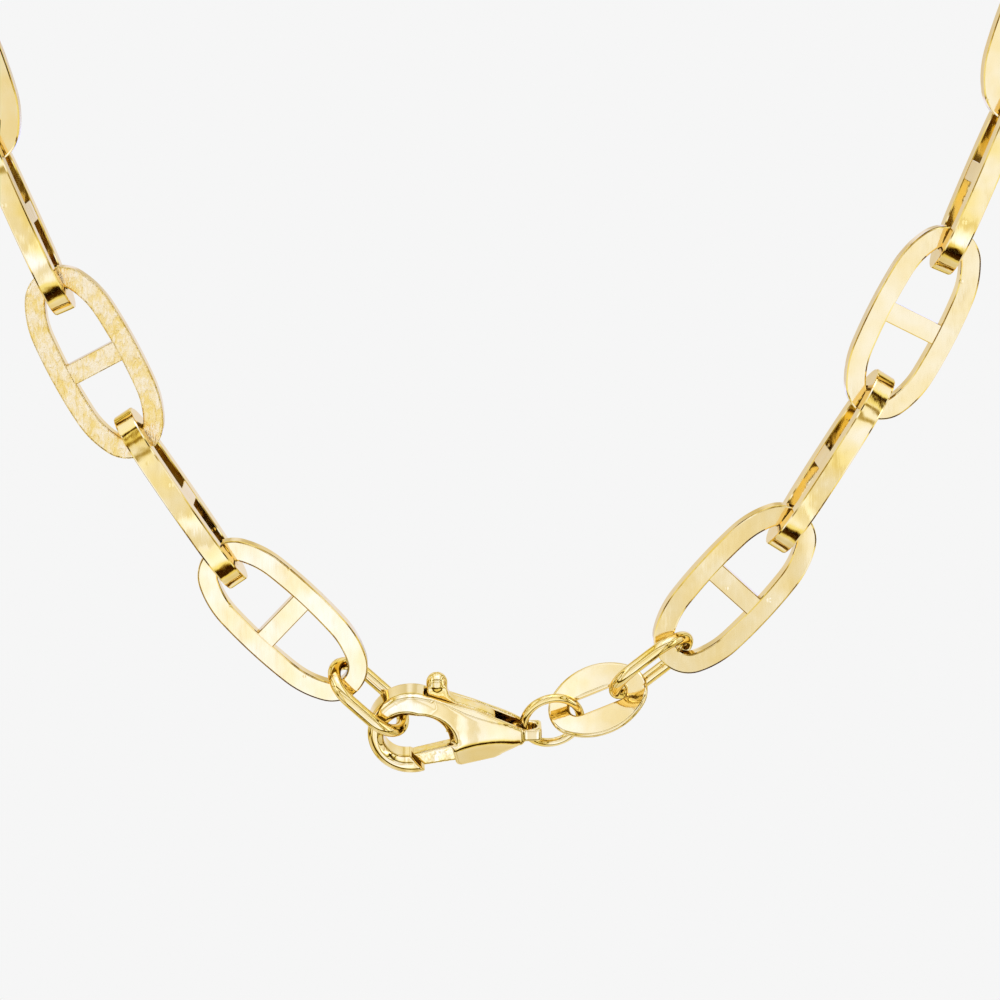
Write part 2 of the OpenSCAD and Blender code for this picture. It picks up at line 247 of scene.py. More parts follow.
@dataclass(frozen=True)
class PolishedGold:
    """Yellow gold of 14 karat, cast or drawn and then buffed.

    The eye gets a warm mirror: cream where it meets the light, deep orange where it meets itself. A slow
    sway of the flats shifts their tone from end to end, the mop leaves faint ripples with a little deeper
    colour in them, and hairlines and a few small pits break the highlights. The hairlines of a real
    buffed face are finer than a pixel, so they are drawn a little coarser here.

    Sizes, gaps and depths are in millimetres, and the slant of the hairlines is in radians. The deeper
    colour comes in over `tone_spread` on either side of the pattern's middle, and `streaks` is how much
    the hairlines have a part in that. The roughness spreads over the heights of the hairlines in `worn`.
    The wall of a pit rises over `pit_wall`, a share of the gap between pits.
    """

    name: str
    colour: str = "#FFE49A"
    deep_colour: str = "#FDDB82"
    tone_spread: float = 0.17
    roughness: float = 0.045
    rough_spread: float = 0.07
    worn: tuple[float, float] = (0.35, 0.7)
    sway_size: float = 9.0
    sway_depth: float = 0.30
    ripple_size: float = 2.2
    ripple_depth: float = 0.022
    hairline_gap: float = 0.26
    hairline_depth: float = 0.0014
    hairline_stretch: float = 0.16
    hairline_slant: float = 0.45
    hairline_bend: float = 0.0
    streaks: float = 0.0
    pit_gap: float = 2.0
    pit_depth: float = 0.012
    pit_wall: tuple[float, float] = (0.03, 0.10)
    edge_tint: str = "#F7EBCB"

    def hairlines(self, tree: bpy.types.NodeTree, place: bpy.types.NodeSocket) -> bpy.types.NodeSocket:
        """Draws the hairlines, which all run one way.

        Args:
            tree: The node tree.
            place: The object's coordinates.

        Returns:
            Their height.
        """
        drawn_out = {
            "Scale": (1.0, 1.0, self.hairline_stretch), "Rotation": (0.0, self.hairline_slant, 0.0)
        }
        along = add_node(tree, "ShaderNodeMapping", drawn_out, {"Vector": place}).outputs["Vector"]
        return noise(tree, along, self.hairline_gap, 3.0, 0.65, self.hairline_bend)

    def tone(
        self, tree: bpy.types.NodeTree, ripple: bpy.types.NodeSocket, hairline: bpy.types.NodeSocket
    ) -> bpy.types.NodeSocket:
        """Mixes the two colours by the ripples, and by the hairlines where it is streaked.

        Args:
            tree: The node tree.
            ripple: The ripples' height.
            hairline: The hairlines' height.

        Returns:
            The gold's colour.
        """
        height = reckon(tree, "MULTIPLY_ADD", hairline, self.streaks, ripple)
        middle = 0.5 * (1 + self.streaks)
        depth = stretch(tree, height, (middle - self.tone_spread, middle + self.tone_spread))
        colours = {"data_type": "RGBA", 6: linear(self.colour), 7: linear(self.deep_colour)}
        return add_node(tree, "ShaderNodeMix", colours, {0: depth}).outputs[2]

    def material(self) -> bpy.types.Material:
        """Builds the material.

        Returns:
            The finished material.
        """
        made = bpy.data.materials.new(self.name)
        tree = fresh_tree(made)
        place = add_node(tree, "ShaderNodeTexCoord").outputs["Object"]
        sway = noise(tree, place, self.sway_size, 0.0)
        ripple = noise(tree, place, self.ripple_size, 2.0, 0.45)
        hairline = self.hairlines(tree, place)
        specks = {"Scale": 1 / (self.pit_gap * MM), "Randomness": 1.0}
        speck = add_node(tree, "ShaderNodeTexVoronoi", specks, {"Vector": place}).outputs["Distance"]
        pits = stretch(tree, speck, self.pit_wall)
        rough = (self.roughness, self.roughness + self.rough_spread)
        worn = stretch(tree, hairline, self.worn, rough)
        normal = {}
        for height, depth in (
            (sway, self.sway_depth), (ripple, self.ripple_depth),
            (hairline, self.hairline_depth), (pits, self.pit_depth),
        ):
            under = {"Height": height} | normal
            bump = add_node(tree, "ShaderNodeBump", {"Distance": depth * MM, "Strength": 1.0}, under)
            normal = {"Normal": bump.outputs["Normal"]}
        shader = add_node(
            tree, "ShaderNodeBsdfPrincipled",
            {"Metallic": 1.0, "Specular Tint": linear(self.edge_tint)},
            {"Base Color": self.tone(tree, ripple, hairline), "Roughness": worn} | normal,
        )
        add_node(tree, "ShaderNodeOutputMaterial", links={"Surface": shader.outputs["BSDF"]})
        return made


@dataclass(frozen=True)
class LightTable:
    """Opal acrylic of a photographer's light table: a floor that glows evenly and takes no shadow."""

    name: str = "opal_light_table"
    colour: str = "#F6F6F6"

    def material(self) -> bpy.types.Material:
        """Builds the material.

        Returns:
            The finished material.
        """
        made = bpy.data.materials.new(self.name)
        tree = fresh_tree(made)
        glow = add_node(tree, "ShaderNodeEmission", {"Color": linear(self.colour), "Strength": 1.0})
        add_node(tree, "ShaderNodeOutputMaterial", links={"Surface": glow.outputs["Emission"]})
        return made


# ---------------------------------------------------------------- seats and shaping


@dataclass(frozen=True)
class Seat:
    """Where a piece lies: the middle of its CAD node, its long axis, its width axis and its normal."""

    middle: Vector
    long: Vector
    wide: Vector
    normal: Vector

    @classmethod
    def of_node(cls, name: str) -> "Seat":
        """Finds the seat of a node that is symmetric about its middle.

        Args:
            name: The CAD node's name.

        Returns:
            The seat, with its normal turned to the front where it can be.
        """
        mesh = frame["nodes"][name].data
        mesh.calc_loop_triangles()
        points = np.array([v.co for v in mesh.vertices], float)
        corners = points[np.array([t.vertices for t in mesh.loop_triangles])]
        sides = corners[:, 1] - corners[:, 0], corners[:, 2] - corners[:, 0]
        area = np.linalg.norm(np.cross(*sides), axis=1)
        middle = (points.min(0) + points.max(0)) / 2
        at = corners.mean(axis=1) - middle
        _, axes = np.linalg.eigh((at * area[:, None]).T @ at)
        normal = Vector(axes[:, 0])
        if normal.y > LEVEL:
            normal.negate()
        long = Vector(axes[:, 2])
        if long.x < 0:
            long.negate()
        return cls(Vector(middle), long, normal.cross(long), normal)

    @classmethod
    def of_clasp(
        cls, roll: float = 12.0, tilt: float = 1.0, rivet: tuple[float, float] = (5.4, -0.3)
    ) -> "Seat":
        """Finds the clasp's frame: X from the hook to the tail, Y up, Z to the front.

        Args:
            roll: How far the clasp is rolled about its length, in degrees.
            tilt: How far its tail rises, in degrees.
            rivet: The rivet's X and Y in the clasp's frame, in millimetres.

        Returns:
            The seat, whose middle is the middle of the hook.
        """
        rolled = Matrix.Rotation(math.radians(90 + roll), 3, "X")
        turned = Matrix.Rotation(math.radians(-tilt), 3, "Y") @ rolled
        at = Vector(frame["joints"][0]["pos_m"]) - turned @ Vector((*rivet, 0.0)) * MM
        return cls(at, turned.col[0].copy(), turned.col[1].copy(), turned.col[2].copy())

    def matrix(self) -> Matrix:
        """Returns the transform from a piece's own millimetres to the frame's metres."""
        turned = Matrix((self.long, self.wide, self.normal)).transposed().to_4x4()
        return Matrix.Translation(self.middle) @ turned @ Matrix.Scale(MM, 4)


def bar_section(bm: bmesh.types.BMesh, width: float, height: float, edge: float, steps: int) -> None:
    """Draws a rounded rectangle in the XY plane, without its face.

    Args:
        bm: The empty mesh it is drawn in.
        width: Size along X.
        height: Size along Y.
        edge: Radius of the corners.
        steps: Segments of each corner.
    """
    made = bmesh.ops.create_grid(bm, x_segments=1, y_segments=1, size=0.5)["verts"]
    bmesh.ops.scale(bm, vec=(width, height, 1.0), verts=made)
    bmesh.ops.bevel(bm, geom=made, offset=edge, segments=steps, affect="VERTICES", **ROUND_BEVEL)
    bmesh.ops.delete(bm, geom=list(bm.faces), context="FACES_ONLY")


def wire_section(
    bm: bmesh.types.BMesh, wire: float, at: tuple[float, float, float], segments: int
) -> Geom:
    """Draws the round section of a wire that runs along X.

    Args:
        bm: The empty mesh it is drawn in.
        wire: Its diameter.
        at: Its middle.
        segments: Its segments.

    Returns:
        Its vertices and edges.
    """
    bmesh.ops.create_circle(bm, cap_ends=False, radius=wire / 2, segments=segments)
    bmesh.ops.transform(bm, matrix=Matrix.Translation(at) @ ACROSS_X, verts=bm.verts)
    return list(bm.verts) + list(bm.edges)


def spin(
    bm: bmesh.types.BMesh, geom: Geom, centre: tuple[float, float], degrees: float, steps: int
) -> Geom:
    """Turns a section about an upright axis and leaves the wall between.

    Args:
        bm: The mesh.
        geom: The section.
        centre: X and Y of the axis.
        degrees: The turn, counter-clockwise.
        steps: Segments of the turn.

    Returns:
        The section at the end of the turn.
    """
    done = bmesh.ops.spin(
        bm, geom=geom, cent=(*centre, 0.0), axis=UP, dvec=ORIGIN, angle=math.radians(degrees),
        space=Matrix.Identity(4), steps=steps, use_merge=False, use_normal_flip=False,
        use_duplicate=False,
    )
    return done["geom_last"]


def run_on(bm: bmesh.types.BMesh, geom: Geom, by: tuple[float, float, float]) -> Geom:
    """Extrudes a section along a straight line.

    Args:
        bm: The mesh.
        geom: The section.
        by: The straight way it goes.

    Returns:
        The section at the end.
    """
    edges = [g for g in geom if isinstance(g, bmesh.types.BMEdge)]
    new = bmesh.ops.extrude_edge_only(bm, edges=edges)["geom"]
    verts = [g for g in new if isinstance(g, bmesh.types.BMVert)]
    bmesh.ops.translate(bm, verts=verts, vec=by)
    ends = set(verts)
    return verts + [e for e in bm.edges if e.verts[0] in ends and e.verts[1] in ends]


def mop(bm: bmesh.types.BMesh, verts: list[bmesh.types.BMVert], rounds: int) -> None:
    """Rounds a casting off by drawing its vertices to their neighbours, again and again.

    Args:
        bm: The mesh.
        verts: The vertices.
        rounds: How many times.
    """
    for _ in range(rounds):
        bmesh.ops.smooth_vert(
            bm, verts=verts, factor=MOP_SHARE, use_axis_x=True, use_axis_y=True, use_axis_z=True
        )


def finish_piece(
    bm: bmesh.types.BMesh, name: str, node: str, materials: tuple[bpy.types.Material, ...],
    sharp: float | None = 35.0, body: Body = Body.NECKLACE, place: Matrix | None = None,
) -> bpy.types.Object:
    """Turns a bmesh into a dressed piece that stands for a CAD node and rides on its body.

    Args:
        bm: The shape, in its own millimetres. It is freed.
        name: The piece's name.
        node: The CAD node that it replaces.
        materials: Its materials, in the order of its faces' numbers.
        sharp: Edges over this angle, in degrees, stay sharp. A cast piece has none.
        body: The body that carries it.
        place: The transform to the frame's metres, where it isn't the node's own seat.

    Returns:
        The new object.
    """
    bmesh.ops.remove_doubles(bm, verts=bm.verts, dist=WELD)
    bmesh.ops.transform(bm, matrix=place or Seat.of_node(node).matrix(), verts=bm.verts)
    bmesh.ops.recalc_face_normals(bm, faces=bm.faces)
    for face in bm.faces:
        face.smooth = True
    mesh = bpy.data.meshes.new(name)
    bm.to_mesh(mesh)
    bm.free()
    for material in materials:
        mesh.materials.append(material)
    piece = bpy.data.objects.new(name, mesh)
    bpy.context.scene.collection.objects.link(piece)
    if sharp is not None:
        mesh.set_sharp_from_angle(angle=math.radians(sharp))
        shading = piece.modifiers.new("even_shading", "WEIGHTED_NORMAL")
        shading.keep_sharp = True
        shading.weight = FACE_WEIGHT
    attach(piece, body.value)
    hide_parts(node)
    LOG.info("%s: %d faces", name, len(mesh.polygons))
    return piece


# ---------------------------------------------------------------- the chain


@dataclass
class MarinerLink:
    """One flat oval link, whose rim is made of tangent arcs, with its crossbar let into the rim.

    Lengths are in millimetres. The crossbar lies `sunk` below the rim on either side. A face is a wall
    where less than `wall_lean` of its unit normal points along the link's thickness.
    """

    length: float = 15.0
    width: float = 6.6
    rim: float = 1.45
    thick: float = 1.5
    bar: float = 1.5
    end_r: float = 2.6
    shoulder_r: float = 7.5
    side_r: float = 40.0
    edge: float = 0.12
    bar_edge: float = 0.072
    edge_steps: int = 2
    sunk: float = 0.045
    side_steps: int = 5
    shoulder_steps: int = 10
    end_steps: int = 24
    wall_lean: float = 0.2

    def arcs(self) -> tuple[Vector, float, float]:
        """Works out the shoulder's arc, which touches the side's and the end's.

        Returns:
            The centre of the shoulder's arc, and the angles of the side's and of the end's half arcs.
        """
        end = Vector((self.length / 2 - self.end_r, 0.0))
        side = Vector((0.0, self.width / 2 - self.side_r))
        to_side, to_end = self.side_r - self.shoulder_r, self.shoulder_r - self.end_r
        apart = (end - side).length
        along = (to_side**2 - to_end**2 + apart**2) / (2 * apart)
        off = math.sqrt(to_side**2 - along**2)
        ahead = (end - side) / apart
        centre = side + ahead * along + Vector((-ahead.y, ahead.x)) * off
        side_a = math.degrees(math.atan2(centre.x, centre.y - side.y))
        end_a = math.degrees(math.atan2(-centre.y, end.x - centre.x))
        return centre, side_a, end_a

    def rim_of(self, bm: bmesh.types.BMesh) -> None:
        """Spins the rim from arc to arc, once round.

        Args:
            bm: The empty mesh it goes into.
        """
        shoulder, side_a, end_a = self.arcs()
        side_y = self.side_r - self.width / 2
        end_x = self.length / 2 - self.end_r
        turn = 90 - side_a - end_a
        bar_section(bm, self.rim, self.thick, self.edge, self.edge_steps)
        stood = ACROSS_X @ Matrix.Rotation(QUARTER, 4, "Z")
        out = Matrix.Translation((0.0, (self.width - self.rim) / 2, 0.0))
        bmesh.ops.transform(bm, matrix=out @ stood, verts=bm.verts)
        ring = list(bm.verts) + list(bm.edges)
        for flip in (1, -1):
            for centre, degrees, steps in (
                ((0.0, -flip * side_y), side_a, self.side_steps),
                ((flip * shoulder.x, flip * shoulder.y), turn, self.shoulder_steps),
                ((flip * end_x, 0.0), 2 * end_a, self.end_steps),
                ((flip * shoulder.x, -flip * shoulder.y), turn, self.shoulder_steps),
                ((0.0, flip * side_y), side_a, self.side_steps),
            ):
                ring = spin(bm, ring, centre, -degrees, steps)
        bmesh.ops.remove_doubles(bm, verts=bm.verts, dist=WELD)

    def build(self) -> bmesh.types.BMesh:
        """Builds the rim and lets the crossbar into it.

        Returns:
            The closed link, centred, its length along X and its thickness along Z. Its flats have
            material 0 and its walls material 1.
        """
        bm = bmesh.new()
        self.rim_of(bm)
        bar = set(bmesh.ops.create_cube(bm, size=1.0)["verts"])
        size = (self.bar, self.width - self.rim, self.thick - 2 * self.sunk)
        bmesh.ops.scale(bm, vec=size, verts=list(bar))
        edges = [e for e in bm.edges if e.verts[0] in bar]
        along = [e for e in edges if abs(e.verts[0].co.y - e.verts[1].co.y) > self.rim]
        bmesh.ops.bevel(
            bm, geom=along, offset=self.bar_edge, segments=self.edge_steps, affect="EDGES", **ROUND_BEVEL
        )
        bmesh.ops.recalc_face_normals(bm, faces=bm.faces)
        for face in bm.faces:
            face.material_index = 1 if abs(face.normal.z) < self.wall_lean else 0
        return bm


@dataclass
class Chain:
    """The links of the chain, each one a piece that replaces its node.

    The flats of the links numbered in `lapped` have a coarser polish. Edges of over `sharp` degrees stay
    sharp.
    """

    flats: bpy.types.Material
    lapped_flats: bpy.types.Material
    walls: bpy.types.Material
    lapped: tuple[int, ...] = (3, 8, 13, 20, 27, 32)
    link: MarinerLink = field(default_factory=MarinerLink)
    sharp: float = 12.0

    def build(self) -> None:
        """Builds one link and sets a copy of it into the seat of each node."""
        pattern = self.link.build()
        for node in sorted(n for n in frame["nodes"] if n.startswith("link_")):
            number = node.removeprefix("link_")
            flats = self.lapped_flats if int(number) in self.lapped else self.flats
            name = f"mariner_link_{number}"
            finish_piece(pattern.copy(), name, node, (flats, self.walls), self.sharp)
        pattern.free()


# ---------------------------------------------------------------- the fastening


@dataclass
class OvalRing:
    """An oval jump ring of round wire."""

    node: str
    finish: bpy.types.Material
    length: float = 7.42
    width: float = 5.2
    wire: float = 0.95
    wire_segments: int = 24
    bend_steps: int = 40

    def build(self) -> bpy.types.Object:
        """Spins the wire round the two bends and runs it along the two straights.

        Returns:
            The dressed ring.
        """
        bend = (self.width - self.wire) / 2
        straight = self.length - self.width
        bm = bmesh.new()
        ring = wire_section(bm, self.wire, (straight / 2, -bend, 0.0), self.wire_segments)
        for side in (1, -1):
            ring = spin(bm, ring, (side * straight / 2, 0.0), 180.0, self.bend_steps)
            ring = run_on(bm, ring, (-side * straight, 0.0, 0.0))
        return finish_piece(bm, f"oval_{self.node}", self.node, (self.finish,))


@dataclass
class RoundRing:
    """The small round ring in the tail of the clasp."""

    node: str
    finish: bpy.types.Material
    across: float = 4.85
    wire: float = 0.65
    wire_segments: int = 20
    steps: int = 72

    def build(self) -> bpy.types.Object:
        """Spins the wire once round.

        Returns:
            The dressed ring.
        """
        bm = bmesh.new()
        at = (0.0, (self.across - self.wire) / 2, 0.0)
        ring = wire_section(bm, self.wire, at, self.wire_segments)
        spin(bm, ring, (0.0, 0.0), 360.0, self.steps)
        return finish_piece(bm, f"round_{self.node}", self.node, (self.finish,))


@dataclass
class Tag:
    """The oval tag with its long slot: a stamped plate, dished a little, with soft edges.

    Lengths are in millimetres and angles in degrees. The slot is given by its length and width. An edge
    that turns by more than `rim_angle` lies on a rim and is rounded off.
    """

    finish: bpy.types.Material
    node: str = "tag_link"
    length: float = 7.6
    height: float = 5.6
    thick: float = 0.75
    end_r: float = 2.2
    slot: tuple[float, float] = (4.4, 1.25)
    edge: float = 0.24
    edge_steps: int = 5
    dish: float = 0.24
    dish_cuts: int = 7
    steps: int = 24
    rim_angle: float = 60.0
    sharp: float = 50.0

    def outline(
        self, bm: bmesh.types.BMesh, half: float, end_r: float, side_r: float | None
    ) -> list[bmesh.types.BMEdge]:
        """Draws a closed oval of two end arcs and two sides.

        Args:
            bm: The mesh.
            half: X of the middle of the end arcs.
            end_r: Their radius.
            side_r: Radius of the sides, or None where they are straight.

        Returns:
            The oval's edges.
        """
        known = set(bm.edges)
        turn = 90.0 if side_r is None else math.degrees(math.acos(half / (side_r - end_r)))
        out, down = math.cos(math.radians(turn)), math.sin(math.radians(turn))
        start = (half + end_r * out, -end_r * down, 0.0)
        at = [bmesh.ops.create_vert(bm, co=start)["vert"][0]]
        for side in (1, -1):
            at = spin(bm, at, (side * half, 0.0), 2 * turn, self.steps)
            at = [g for g in at if isinstance(g, bmesh.types.BMVert)]
            if side_r is None:
                for _ in range(self.steps):
                    at = bmesh.ops.extrude_vert_indiv(bm, verts=at)["verts"]
                    bmesh.ops.translate(bm, verts=at, vec=(-side * 2 * half / self.steps, 0.0, 0.0))
            else:
                low = math.sqrt((side_r - end_r) ** 2 - half**2)
                at = spin(bm, at, (0.0, -side * low), 180 - 2 * turn, self.steps)
                at = [g for g in at if isinstance(g, bmesh.types.BMVert)]
        bmesh.ops.remove_doubles(bm, verts=bm.verts, dist=WELD)
        return [e for e in bm.edges if e not in known]

    def face(self, bm: bmesh.types.BMesh) -> None:
        """Draws the dished face with its slot: high at the rim and low in the middle.

        Args:
            bm: The empty mesh it goes into.
        """
        half, high = self.length / 2 - self.end_r, self.height / 2
        side_r = (half**2 + high**2 - self.end_r**2) / (2 * (high - self.end_r))
        outer = self.outline(bm, half, self.end_r, side_r)
        inner = self.outline(bm, (self.slot[0] - self.slot[1]) / 2, self.slot[1] / 2, None)
        spokes = bmesh.ops.bridge_loops(bm, edges=outer + inner)["edges"]
        spokes = [e for e in spokes if e.is_valid]
        bmesh.ops.subdivide_edges(bm, edges=spokes, cuts=self.dish_cuts, use_grid_fill=True)
        for vert in bm.verts:
            # The reach is 0 in the middle and a quarter at the ends and at the sides of the rim.
            reach = (vert.co.x / self.length) ** 2 + (vert.co.y / self.height) ** 2
            vert.co.z = -self.thick / 2 - self.dish * (0.25 - reach) * 2
        bmesh.ops.recalc_face_normals(bm, faces=bm.faces)
        if next(iter(bm.faces)).normal.z < 0:
            bmesh.ops.reverse_faces(bm, faces=bm.faces)

    def build(self) -> bpy.types.Object:
        """Gives the dished face its thickness and softens its edges.

        Returns:
            The dressed tag.
        """
        bm = bmesh.new()
        self.face(bm)
        raised = bmesh.ops.extrude_face_region(bm, geom=list(bm.faces), use_keep_orig=True)["geom"]
        top = [g for g in raised if isinstance(g, bmesh.types.BMVert)]
        bmesh.ops.translate(bm, verts=top, vec=(0.0, 0.0, self.thick - self.dish))
        bmesh.ops.recalc_face_normals(bm, faces=bm.faces)
        corner = math.radians(self.rim_angle)
        rims = [e for e in bm.edges if e.is_manifold and e.calc_face_angle(0.0) > corner]
        bmesh.ops.bevel(
            bm, geom=rims, offset=self.edge, segments=self.edge_steps, affect="EDGES", **ROUND_BEVEL
        )
        return finish_piece(bm, "slotted_tag", self.node, (self.finish,), self.sharp)


@dataclass(frozen=True)
class Casting:
    """A cast part of the clasp, whose edges were rounded off in the mould and by the mop.

    The grain is the size of its faces. The ridge under the clasp's cheek lies in the box between
    `ridge_from` and `ridge_to`, in the clasp's frame. All are in millimetres.
    """

    node: str
    name: str
    body: Body
    finish: bpy.types.Material
    grain: float = 0.065
    rounds: int = 13
    ridge_rounds: int = 45
    ridge_from: tuple[float, float, float] = (3.7, -1.75, 0.5)
    ridge_to: tuple[float, float, float] = (8.3, -0.15, 3.0)

    def recast(self, place: Matrix) -> bmesh.types.BMesh:
        """Takes a copy of the CAD shape and recasts it in fine even faces.

        Args:
            place: The transform from the clasp's frame to the scene's.

        Returns:
            The copy, in the clasp's frame.
        """
        bm = bmesh.new()
        bm.from_mesh(frame["nodes"][self.node].data)
        bmesh.ops.transform(bm, matrix=place.inverted(), verts=bm.verts)
        bmesh.ops.remove_doubles(bm, verts=bm.verts, dist=WELD)
        rough = bpy.data.meshes.new(f"{self.name}_rough")
        bm.to_mesh(rough)
        bm.free()
        blank = bpy.data.objects.new(f"{self.name}_blank", rough)
        bpy.context.scene.collection.objects.link(blank)
        voxels = blank.modifiers.new("recast", "REMESH")
        voxels.mode = "VOXEL"
        voxels.voxel_size = self.grain
        cast = blank.evaluated_get(bpy.context.evaluated_depsgraph_get())
        even = bpy.data.meshes.new_from_object(cast)
        bpy.data.objects.remove(blank)
        bm = bmesh.new()
        bm.from_mesh(even)
        bpy.data.meshes.remove(even)
        bpy.data.meshes.remove(rough)
        return bm

    def build(self) -> bpy.types.Object:
        """Recasts the shape and mops its edges round, the ridge under the cheek the most.

        Returns:
            The dressed casting.
        """
        place = Seat.of_clasp().matrix()
        bm = self.recast(place)
        mop(bm, list(bm.verts), self.rounds)
        ridge = [
            vert for vert in bm.verts
            if all(low < c < high for low, c, high in zip(self.ridge_from, vert.co, self.ridge_to))
        ]
        mop(bm, ridge, self.ridge_rounds)
        return finish_piece(bm, self.name, self.node, (self.finish,), None, self.body, place)


def dress(node: str, finish: bpy.types.Material) -> None:
    """Gives a CAD node a finish.

    Args:
        node: The node's name.
        finish: Its material.
    """
    piece = frame["nodes"][node]
    piece.data.materials.clear()
    piece.data.materials.append(finish)
    LOG.info("%s: CAD shape kept", node)


# ---------------------------------------------------------------- studio


@dataclass(frozen=True)
class Tent:
    """The cloth tent round the table, as the polished metal sees it.

    Each stop gives the cloth's light. Round the tent they go by degrees, from the back under the table to
    the front and over the top to the back again. Across it they go from the left side, -1, to the right,
    1. Round its mouth, which faces the front a little low, they go by the cosine from the mouth's axis.
    The seams between the sheets are dark. Cards of pale gold stand beside the seams, so a rounded edge
    that shows one gets a deep yellow fringe; their stops go from 0, no card, to 1.

    Cloth at `plain_light` is white. Brighter cloth is cool: for each unit of light above, its blue grows
    and its red shrinks by the cool shares. Dimmer cloth is warm: its share of the plain light, raised to
    the warm powers, takes from its blue and adds to its red. Light that has met the metal three times is
    dimmed to `gap_light`: painted shade, which darkens the narrow gaps between the pieces.
    """

    backdrop: str = "#F6F6F6"
    most: float = 1.45
    plain_light: float = 0.69
    cool_blue: float = 1.70
    cool_red: float = -0.30
    warm_blue: float = 1.0
    warm_red: float = -0.25
    faintest: float = 0.001
    round_stops: Stops = (
        (-180, 0.92), (-156, 0.88), (-153, 0.015), (-150, 0.015), (-147, 0.88), (-112, 0.90),
        (-98, 0.76), (-85, 0.72), (-70, 0.84), (-65, 0.84), (-63, 0.015), (-51.5, 0.015), (-49, 0.98),
        (-40, 1.20), (-28, 1.12), (-5, 1.06), (9, 1.0), (12, 0.35), (14, 0.35), (17, 1.10),
        (39.5, 1.12), (41.5, 0.015), (46.5, 0.015), (48.5, 1.14), (75, 1.16), (100, 1.08), (126, 0.93),
        (129, 0.015), (132, 0.015), (135, 0.92), (169, 0.84), (180, 0.92),
    )
    cross_stops: Stops = (
        (-1.0, 0.95), (-0.93, 0.95), (-0.915, 0.015), (-0.88, 0.015), (-0.865, 0.98), (-0.56, 1.02),
        (-0.55, 0.2), (-0.53, 0.2), (-0.52, 0.84), (-0.42, 0.90), (-0.30, 1.16), (-0.12, 0.88),
        (-0.078, 0.86), (-0.062, 1.12), (-0.025, 1.26), (0.015, 1.16), (0.04, 0.92), (0.08, 0.83),
        (0.112, 0.83), (0.125, 1.07), (0.30, 1.16), (0.52, 1.02), (0.56, 0.92), (0.575, 0.015),
        (0.60, 0.015), (0.615, 1.0), (0.765, 1.0), (0.78, 0.015), (0.815, 0.015), (0.83, 0.96),
        (1.0, 0.92),
    )
    mouth_tilt: float = -10.0
    mouth_stops: Stops = ((-1.0, 1.0), (0.67, 1.0), (0.69, 0.22), (0.72, 0.22), (0.74, 1.0), (1.0, 1.0))
    card: str = "#FFF6B0"
    card_round: Stops = (
        (-180, 0.0), (-166, 0.0), (-162, 1.0), (-140, 1.0), (-136, 0.0), (-73, 0.0), (-69, 1.0),
        (-46, 1.0), (-43, 0.0), (37, 0.0), (39.5, 1.0), (49, 1.0), (51, 0.0), (119, 0.0), (123, 1.0),
        (139, 1.0), (143, 0.0), (180, 0.0),
    )
    card_cross: Stops = (
        (-1.0, 0.0), (-0.96, 0.0), (-0.94, 1.0), (-0.84, 1.0), (-0.82, 0.0), (-0.62, 0.0),
        (-0.60, 1.0), (-0.48, 1.0), (-0.46, 0.0), (0.51, 0.0), (0.53, 1.0), (0.65, 1.0), (0.67, 0.0),
        (0.72, 0.0), (0.74, 1.0), (0.86, 1.0), (0.88, 0.0), (1.0, 0.0),
    )
    # Painted shade: light that has met the metal this many times fades to `gap_light` of its strength,
    # darkening the narrow gaps.
    gap_bounces: tuple[float, float] = (2.0, 3.0)
    gap_light: float = 0.14
    tones: int = 20

    def strength(self) -> float:
        """Returns the blue of the brightest cloth, which the background is scaled by."""
        return self.most * (1 + self.cool_blue * (self.most - self.plain_light))

    def cloth(self, light: float) -> list[float]:
        """Works out the colour of cloth that gives a certain light.

        Args:
            light: Its brightness.

        Returns:
            A linear colour with an alpha of 1, as a share of the brightest blue.
        """
        over = max(0.0, light - self.plain_light)
        under = max(self.faintest, min(1.0, light / self.plain_light))
        red = light * (1 + self.cool_red * over) * under**self.warm_red
        blue = light * (1 + self.cool_blue * over) * under**self.warm_blue
        return [c / self.strength() for c in (red, light, blue)] + [1.0]

    def colour(self, tree: bpy.types.NodeTree, way: bpy.types.NodeSocket) -> bpy.types.NodeSocket:
        """Works out what stands in a direction: cloth of its tone, with or without a card.

        Args:
            tree: The world's node tree.
            way: The direction.

        Returns:
            The colour, as a share of the brightest blue.
        """
        split = add_node(tree, "ShaderNodeSeparateXYZ", links={"Vector": way}).outputs
        front = reckon(tree, "MULTIPLY", split["Y"], -1.0)
        angle = reckon(tree, "ARCTAN2", split["Z"], front)
        degrees = reckon(tree, "MULTIPLY", angle, 180 / math.pi)
        tilt = math.radians(self.mouth_tilt)
        axis = {"operation": "DOT_PRODUCT", 1: (0.0, -math.cos(tilt), math.sin(tilt))}
        facing = add_node(tree, "ShaderNodeVectorMath", axis, {0: way}).outputs["Value"]

        around = grey_ramp(tree, self.round_stops, degrees, self.most)
        across = grey_ramp(tree, self.cross_stops, split["X"], self.most)
        mouth = grey_ramp(tree, self.mouth_stops, facing)
        light = reckon(tree, "MULTIPLY", reckon(tree, "MULTIPLY", around, across), mouth)
        scaled = reckon(tree, "MULTIPLY", light, self.most**2)
        tones = [self.most * (step / self.tones) ** 2 for step in range(self.tones + 1)]
        cloth = ramp(tree, [(tone, self.cloth(tone)) for tone in tones], scaled)

        card_around = grey_ramp(tree, self.card_round, degrees)
        card_across = grey_ramp(tree, self.card_cross, split["X"])
        card = reckon(tree, "MAXIMUM", card_around, card_across)
        tinted = {"data_type": "RGBA", "blend_type": "MULTIPLY", 7: linear(self.card)}
        return add_node(tree, "ShaderNodeMix", tinted, {0: card, 6: cloth}).outputs[2]

    def world(self) -> bpy.types.World:
        """Builds the world: the plain backdrop for the camera, and the tent for the metal.

        Returns:
            The world.
        """
        world = bpy.data.worlds.new("tent")
        tree = fresh_tree(world)
        way = add_node(tree, "ShaderNodeTexCoord").outputs["Generated"]
        colour = self.colour(tree, way)
        path = add_node(tree, "ShaderNodeLightPath").outputs
